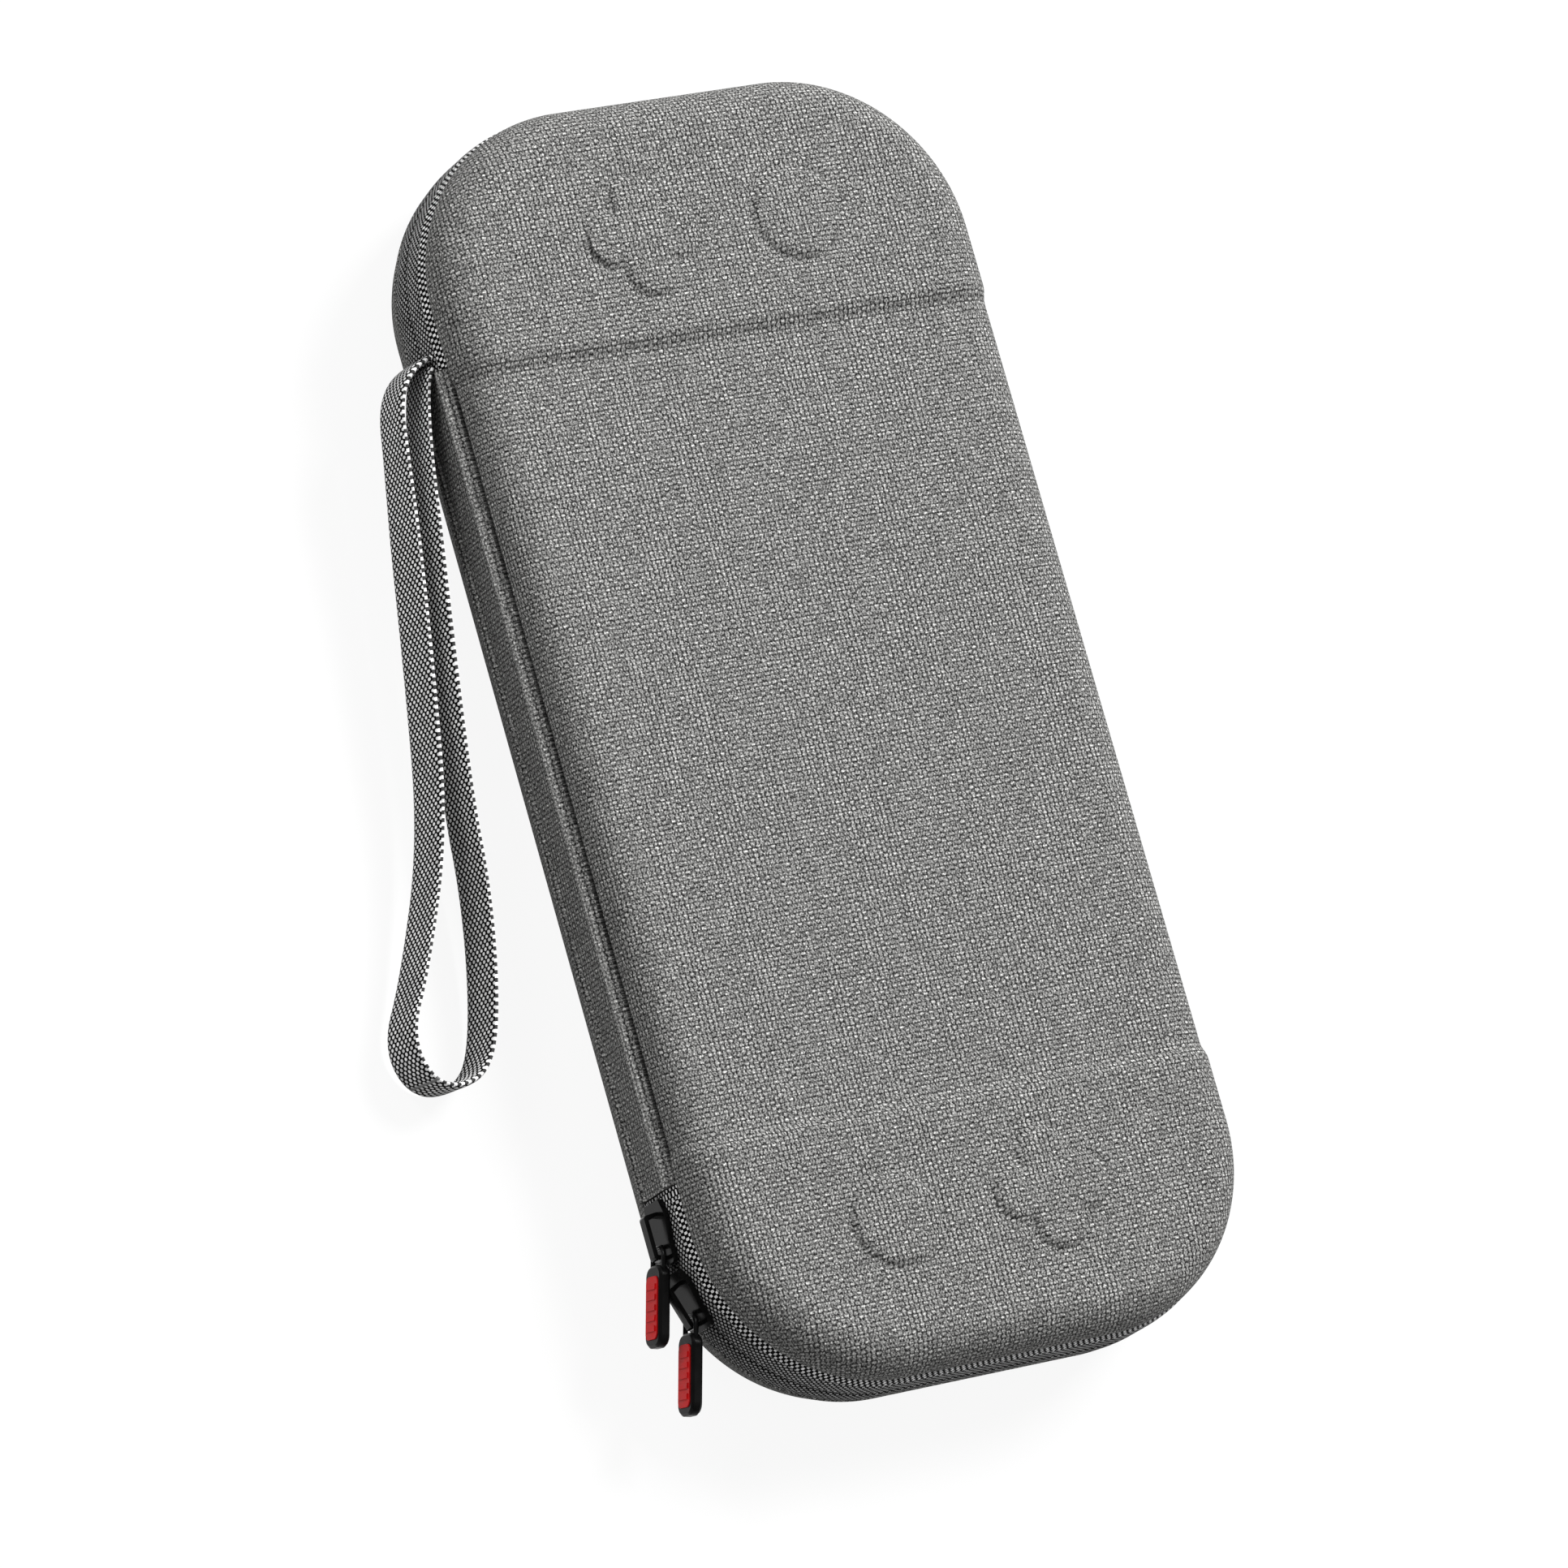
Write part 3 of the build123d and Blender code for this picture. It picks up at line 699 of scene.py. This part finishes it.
def coils():
    """Nylon zip coils behind the tapes, wound as flat spirals."""
    pitch = 1.3
    turn_points = 8
    wire, half_deep = 0.32, 0.75
    feet, outs = spokes(ZIP_STOPS, pitch / turn_points, False)
    for name, node, body, (low, high) in (
            ("lid_coil", "lid_zip_coil", "lid", (lid_coil_low, lid_coil_high)),
            ("base_coil", "base_zip_coil", "base", (base_coil_low, base_coil_high))):
        wide = (high[2] - low[2]) / 2 - wire
        deep = half_deep - wire
        inset = HALF_WIDTH - high[1] + half_deep
        turns = np.arange(len(feet)) * 2 * pi / turn_points
        plan = feet + outs * (CORNER - inset + deep * np.cos(turns))[:, None]
        levels = (low[2] + high[2]) / 2 + wide * np.sin(turns)
        made = line_piece(name, [np.c_[plan, levels]], wire, "coil", body)
        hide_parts(node)


def line_piece(name, lines, radius, look, body):
    """Round strands along lines of points in millimetres."""
    curve = bpy.data.curves.new(name, "CURVE")
    curve.dimensions = "3D"
    curve.bevel_depth = radius * MM
    curve.bevel_resolution = 1
    curve.use_fill_caps = True
    for line in lines:
        spline = curve.splines.new("POLY")
        spline.points.add(len(line) - 1)
        spline.points.foreach_set("co", np.c_[np.asarray(line) * MM, np.ones(len(line))].ravel())
    curve.materials.append(materials[look])
    made = bpy.data.objects.new(name, curve)
    bpy.context.collection.objects.link(made)
    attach(made, body)
    return made


def stitches(path, length, gap, sink):
    """Short arched strands along a path of points, one for each stitch."""
    path = np.asarray(path, dtype=float)
    walk = np.append(0, np.cumsum(np.linalg.norm(np.diff(path, axis=0), axis=1)))
    lines = []
    for start in np.arange(gap, walk[-1] - length, length + gap):
        places = start + np.linspace(0, 1, 5) * length
        line = np.stack([np.interp(places, walk, path[:, axis]) for axis in range(3)], axis=1)
        line[:, 2] -= sink * np.array([1, 0.25, 0, 0.25, 1])
        lines.append(line)
    return lines


def strap_line():
    """Centre line of the wrist strap, read from its smooth route."""
    along = Vector((cos(STRAP_SLOPE), 0, sin(STRAP_SLOPE)))
    out = Vector((0, 1, 0))
    curve = bpy.data.curves.new("strap_route", "CURVE")
    curve.dimensions = "3D"
    curve.resolution_u = 24
    spline = curve.splines.new("NURBS")
    spline.points.add(len(STRAP_ROUTE) - 1)
    for point, (x, y) in zip(spline.points, STRAP_ROUTE):
        point.co = (*((Vector(STRAP_EXIT) + along * x + out * y) * MM), 1)
    spline.order_u = 3
    spline.use_endpoint_u = True
    carrier = bpy.data.objects.new("strap_route", curve)
    mesh = bpy.data.meshes.new_from_object(carrier)
    line = np.array([vertex.co for vertex in mesh.vertices])
    bpy.data.objects.remove(carrier)
    bpy.data.meshes.remove(mesh)
    return line / MM


def strap():
    """Wrist strap: flat webbing on edge, doubled back into the seam."""
    line = strap_line()
    upright = np.array((-sin(STRAP_SLOPE), 0, cos(STRAP_SLOPE)))
    lean = STRAP_LEAN * ease(STRAP_EXIT[0] - line[:, 0], 8, 40)
    across = upright - lean[:, None] * np.array((0, 1, 0))
    across /= np.linalg.norm(across, axis=1)[:, None]
    heading = np.gradient(line, axis=0)
    heading /= np.linalg.norm(heading, axis=1)[:, None]
    aside = np.cross(across, heading)
    half, thin = STRAP_WIDTH / 2, STRAP_THICK / 2
    section = []
    for face in (1, -1):
        for share in np.linspace(-1, 1, 13) * face:
            section.append((share * half, face * thin * (1 - 0.75 * abs(share) ** 10)))
    section = np.array(section)
    points = line[:, None] + across[:, None] * section[None, :, :1] + aside[:, None] * section[None, :, 1:]
    along = np.append(0, np.cumsum(np.linalg.norm(np.diff(line, axis=0), axis=1)))
    cloth = np.stack(np.broadcast_arrays(along[:, None], section[None, :, 0] + half), axis=2)
    faces = band_faces(*points.shape[:2])
    made = piece("wrist_strap_webbing", points.reshape(-1, 3), faces, "strap", "base",
                 cloth.reshape(-1, 2))
    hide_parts("wrist_strap")


FLAP_CORNER = 12.0
FLAP_TAPE_LAP = 2.2


def flap_stops(back):
    """Line of the flap's binding, round its two free corners."""
    side = flap_edge_high[0] - FLAP_CORNER
    front = flap_edge_low[1] + FLAP_CORNER
    return [(-side, back, 180, 180), (-side, front, 180, 270),
            (side, front, 270, 360), (side, back, 360, 360)]


def flap():
    """Padded divider with a woven edge binding, sewn to the spine."""
    low, high = flap_low, flap_high
    middle = (low + high) / 2
    half = (high - low) / 2
    nx, ny = 90, 64
    round_corner = FLAP_CORNER - FLAP_TAPE_LAP
    sheets, cloths = [], []
    for face in (1, -1):
        points, cloth = [], []
        for j in range(ny + 1):
            for i in range(nx + 1):
                x, y = (2 * i / nx - 1) * half[0], (2 * j / ny - 1) * half[1]
                u = abs(x) - half[0] + round_corner
                v = -y - half[1] + round_corner
                if u > 0 and v > 0 and hypot(u, v) > 0:
                    shrink = max(u, v) / hypot(u, v)
                    x -= np.sign(x) * u * (1 - shrink)
                    y += v * (1 - shrink)
                edge = min(half[0] - abs(x), y + half[1], round_corner - hypot(max(u, 0), max(v, 0)))
                swell = 0.55 + 0.45 * float(ease(edge, -1.0, 7.0))
                points.append((middle[0] + x, middle[1] + y, middle[2] + face * half[2] * swell))
                cloth.append((x, y))
        sheets.append(points)
        cloths.append(cloth)
    size = (nx + 1) * (ny + 1)
    quads = [(j * (nx + 1) + i, j * (nx + 1) + i + 1, (j + 1) * (nx + 1) + i + 1, (j + 1) * (nx + 1) + i)
             for j in range(ny) for i in range(nx)]
    faces = quads + [tuple(k + size for k in quad[::-1]) for quad in quads]
    rim = ([i for i in range(nx)] + [j * (nx + 1) + nx for j in range(ny)]
           + [ny * (nx + 1) + i for i in range(nx, 0, -1)] + [j * (nx + 1) for j in range(ny, 0, -1)])
    faces += [(a + size, b + size, b, a) for a, b in zip(rim, rim[1:] + rim[:1])]
    made = piece("flap_pad", np.vstack(sheets), faces, "lining", "base", np.vstack(cloths))
    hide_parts("divider_flap")

    feet, outs = spokes(flap_stops(flap_edge_high[1]), 1.2, False)
    level = (flap_edge_low[2] + flap_edge_high[2]) / 2
    tall = (flap_edge_high[2] - flap_edge_low[2]) / 2
    section = []
    for turn in np.linspace(0, 2 * pi, 17)[:-1]:
        section.append((1.1 - 1.05 * abs(cos(turn)) ** 0.5 * np.sign(cos(turn)),
                        level + tall * abs(sin(turn)) ** 0.5 * np.sign(sin(turn)), turn / (2 * pi) * 9))
    points, faces, cloth = strip(feet, outs, FLAP_CORNER, section)
    made = piece("flap_edge_tape", points, faces, "binding", "base", cloth)
    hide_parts("flap_binding")
    for name, face in (("flap_stitches_top", 1), ("flap_stitches_under", -1)):
        path = np.c_[feet + outs * (FLAP_CORNER - 1.75), np.full(len(feet), level + face * (tall + 0.02))]
        line_piece(name, stitches(path, 2.6, 0.9, 0.35 * face), 0.16, "thread", "base")


CARD_COUNT = 5
CARD_MARGIN = 3.0
CARD_GAP = 4.0


def card_rows():
    """Rows of card pockets: a sewn sheet with pillowed pockets, each with an elastic mouth."""
    for node in ("front_card_row", "rear_card_row"):
        low, high = box_mm(node)
        sheet_top = low[2] + 0.6
        width = (high[0] - low[0] - 2 * CARD_MARGIN + CARD_GAP) / CARD_COUNT - CARD_GAP
        deep = high[1] - low[1] - 2 * CARD_MARGIN
        xs = np.arange(low[0], high[0] + 0.4, 0.75)
        ys = np.arange(low[1], high[1] + 0.4, 0.75)
        xs, ys = np.linspace(low[0], high[0], len(xs)), np.linspace(low[1], high[1], len(ys))
        x, y = np.meshgrid(xs, ys)
        across = np.mod(x - low[0] - CARD_MARGIN, width + CARD_GAP)
        up = y - low[1] - CARD_MARGIN
        inside = np.minimum(np.minimum(across, width - across), np.minimum(up, deep - up))
        rise = 0.95 * ease(inside, 0.0, 2.4) * (0.75 + 0.25 * ease(inside, 2.0, 8.0))
        mouth = (inside > 0) * ease(up, deep - 3.2, deep - 2.8)
        rise = rise * (1 - mouth) + mouth * 0.93
        edge = np.minimum(np.minimum(x - low[0], high[0] - x), np.minimum(y - low[1], high[1] - y))
        top = sheet_top - 0.45 * (1 - ease(edge, 0.0, 0.8)) + rise
        grid = np.c_[x.ravel(), y.ravel(), top.ravel()]
        under = np.c_[x.ravel(), y.ravel(), np.full(x.size, low[2])]
        nx, ny = len(xs), len(ys)
        quads = [(j * nx + i, j * nx + i + 1, (j + 1) * nx + i + 1, (j + 1) * nx + i)
                 for j in range(ny - 1) for i in range(nx - 1)]
        rim = ([i for i in range(nx - 1)] + [j * nx + nx - 1 for j in range(ny - 1)]
               + [(ny - 1) * nx + i for i in range(nx - 1, 0, -1)] + [j * nx for j in range(ny - 1, 0, -1)])
        size = nx * ny
        faces = quads + [(a + size, b + size, b, a) for a, b in zip(rim, rim[1:] + rim[:1])]
        faces.append(tuple(k + size for k in rim[::-1]))
        made = piece(node + "_cloth", np.vstack([grid, under]), faces, "lining", "base",
                     np.vstack([grid, under])[:, :2])
        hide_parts(node)
        lines = []
        for k in range(CARD_COUNT):
            left = low[0] + CARD_MARGIN + k * (width + CARD_GAP) - 0.7
            right = left + width + 1.4
            bottom, upper = low[1] + CARD_MARGIN - 0.7, low[1] + CARD_MARGIN + deep
            level = sheet_top + 0.1
            path = [(left, upper, level), (left, bottom, level),
                    (right, bottom, level), (right, upper, level)]
            lines += stitches(path, 1.8, 0.7, 0.25)
        line_piece(node + "_stitches", lines, 0.13, "thread", "base")


def elastics():
    """Slack elastic bands across the base floor, ribbed across."""
    for node in ("left_elastic", "right_elastic"):
        low, high = box_mm(node)
        thick = 1.15
        bow = high[2] - low[2] - thick - 0.05
        half = (high[1] - low[1]) / 2
        middle = (low + high) / 2
        section = []
        for turn in np.linspace(0, 2 * pi, 25)[:-1]:
            reach = abs(cos(turn)) ** 0.25 * np.sign(cos(turn))
            section.append((reach, thick / 2 * abs(sin(turn)) ** 0.6 * np.sign(sin(turn))))
        section = np.array(section)
        y = np.linspace(-half, half, 90)
        lift = low[2] + thick / 2 + bow * (1 - (y / half) ** 2)
        points = np.stack(np.broadcast_arrays(
            middle[0] + section[None, :, 0] * (high[0] - low[0]) / 2, middle[1] + y[:, None],
            lift[:, None] + section[None, :, 1]), axis=2)
        cloth = np.stack(np.broadcast_arrays(y[:, None], section[None, :, 0] * 10), axis=2)
        size = len(section)
        faces = [(k * size + j, k * size + (j + 1) % size,
                  (k + 1) * size + (j + 1) % size, (k + 1) * size + j)
                 for k in range(len(y) - 1) for j in range(size)]
        faces += [tuple(range(size)), tuple(range((len(y) - 1) * size, len(y) * size))[::-1]]
        made = piece(node + "_band", points.reshape(-1, 3), faces, "elastic", "base",
                     cloth.reshape(-1, 2))
        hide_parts(node)


NET_THICK = 0.7
NET_SHOULDER = 9.0


def net_level(x):
    """Middle level of the net across the lid: sewn up at both ends, level between."""
    half = net_high[0] - 0.2
    low = net_low[2] + NET_THICK / 2
    return low + (net_high[2] - net_low[2] - NET_THICK) * ease(np.abs(x), half - NET_SHOULDER, half)


def net():
    """Open net pocket of knotted yarn in the lid, with an elastic edge at its mouth."""
    cell = 2.6
    half = net_high[0] - 0.3
    front, back = net_low[1] + 0.2, net_high[1] - 0.2
    lines = []
    for slant in (1, -1):
        for start in np.arange(-half - (back - front), half + (back - front), cell):
            y = np.linspace(front, back, 57)
            x = start + slant * (y - front) if slant > 0 else start + (back - front) - (y - front)
            keep = np.abs(x) <= half
            if keep.sum() > 2:
                weave = 0.1 * slant * np.cos((y - front) / cell * pi)
                lines.append(np.c_[x, y, net_level(x) + weave][keep])
    for side in (-half, half):
        lines.append([(side, front, net_level(side)), (side, back, net_level(side))])
    x = np.linspace(-half, half, 90)
    lines.append(np.c_[x, np.full_like(x, back), net_level(x)])
    made = line_piece("net_yarns", lines, 0.22, "net", "lid")
    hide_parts("net_pocket")

    middle_y = (bead_low[1] + bead_high[1]) / 2
    deep, tall = (bead_high[1] - bead_low[1]) / 2, 1.05
    x = np.linspace(-half, half, 140)
    turns = np.linspace(0, 2 * pi, 15)[:-1]
    gather = 1 - 0.06 * (1 + np.sin(x * 2 * pi / 2.4))
    points = np.stack(np.broadcast_arrays(
        x[:, None], middle_y + deep * np.cos(turns)[None] * gather[:, None],
        net_level(x)[:, None] + tall * np.sin(turns)[None] * gather[:, None]), axis=2)
    cloth = np.stack(np.broadcast_arrays(x[:, None], (turns * 1.1)[None]), axis=2)
    size = len(turns)
    faces = [(k * size + j, (k + 1) * size + j, (k + 1) * size + (j + 1) % size, k * size + (j + 1) % size)
             for k in range(len(x) - 1) for j in range(size)]
    faces += [tuple(range(size)), tuple(range((len(x) - 1) * size, len(x) * size))[::-1]]
    made = piece("net_mouth", points.reshape(-1, 3), faces, "elastic", "lid",
                 cloth.reshape(-1, 2))
    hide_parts("net_elastic")


def pulls_and_sliders():
    """Moulded sliders, wire loops, rubber grips and red inlays, with softened edges."""
    for name in ("parked", "running"):
        for part, look, edge in (("slider", "slider", 0.28), ("pull_loop", "slider", 0.0),
                                 ("pull_grip", "rubber", 0.3), ("pull_inlay", "red", 0.14)):
            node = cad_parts[name + "_" + part]
            node.data.materials.clear()
            node.data.materials.append(materials[look])
            weld = node.modifiers.new("weld", "WELD")
            weld.merge_threshold = 0.004 * MM
            if edge:
                bevel = node.modifiers.new("soft_edges", "BEVEL")
                bevel.width = edge * MM
                bevel.segments = 3
                bevel.limit_method = "ANGLE"
                bevel.angle_limit = radians(32)
                bevel.harden_normals = False


def camera():
    """Camera at the photograph's place and angle."""
    back = Vector((sin(CAMERA_AZIMUTH) * cos(CAMERA_ELEVATION),
                   -cos(CAMERA_AZIMUTH) * cos(CAMERA_ELEVATION), sin(CAMERA_ELEVATION)))
    level = Vector((cos(CAMERA_AZIMUTH), sin(CAMERA_AZIMUTH), 0))
    right = level * cos(CAMERA_ROLL) + back.cross(level) * sin(CAMERA_ROLL)
    up = back.cross(right)
    data = bpy.data.cameras.new("camera")
    data.sensor_width = CAMERA_SENSOR
    data.lens = CAMERA_LENS
    data.clip_end = 20
    made = bpy.data.objects.new("camera", data)
    bpy.context.collection.objects.link(made)
    turn = Matrix((right, up, back)).transposed()
    made.matrix_world = Matrix.Translation(CAMERA_PLACE) @ turn.to_4x4()
    bpy.context.scene.camera = made


def floor():
    """Pale floor that looks white, also in gloss, keeps a soft shadow and throws little light back."""
    graph = Graph("pale_floor")
    path = graph.node("ShaderNodeLightPath").outputs
    seen = graph.math("MAXIMUM", path["Is Camera Ray"], path["Is Glossy Ray"])
    matt = graph.node("ShaderNodeBsdfDiffuse")
    graph.put(matt.inputs["Color"], graph.colours(seen, (0.0, 0.35), (1.0, 0.97)))
    glow = graph.node("ShaderNodeEmission")
    mix = graph.node("ShaderNodeMixShader")
    graph.put(mix.inputs[0], graph.times(seen, 0.91))
    graph.put(mix.inputs[1], matt.outputs[0])
    graph.put(mix.inputs[2], glow.outputs[0])
    graph.put(graph.output.inputs[0], mix.outputs[0])
    half = 3.0
    mesh = bpy.data.meshes.new("floor")
    corners = [(-half, -half, 0), (half, -half, 0), (half, half, 0), (-half, half, 0)]
    mesh.from_pydata(corners, [], [(0, 1, 2, 3)])
    mesh.materials.append(graph.material)
    made = bpy.data.objects.new("floor", mesh)
    bpy.context.collection.objects.link(made)


def light(name, place, size, power):
    """Square soft light that looks at the case."""
    data = bpy.data.lights.new(name, "AREA")
    data.shape = "SQUARE"
    data.size = size
    data.energy = power
    made = bpy.data.objects.new(name, data)
    bpy.context.collection.objects.link(made)
    made.location = place
    made.rotation_euler = (-Vector(place)).to_track_quat("-Z", "Y").to_euler()


def stage():
    """Pale floor, even surrounding light, a key light and a fill light."""
    world = bpy.data.worlds.new("studio")
    world.use_nodes = True
    world.node_tree.nodes["Background"].inputs[0].default_value = (1, 1, 1, 1)
    world.node_tree.nodes["Background"].inputs[1].default_value = 0.38
    bpy.context.scene.world = world
    floor()
    light("key", (1.0, -1.5, 2.2), 1.0, 112)
    light("fill", (1.5, 1.0, 1.1), 0.6, 14)
    view = bpy.context.scene.view_settings
    view.view_transform = "Standard"


camera()
strap()
shells()
spine_cover()
zip_tapes()
coils()
bindings()
flap()
card_rows()
elastics()
net()
pulls_and_sliders()
stage()
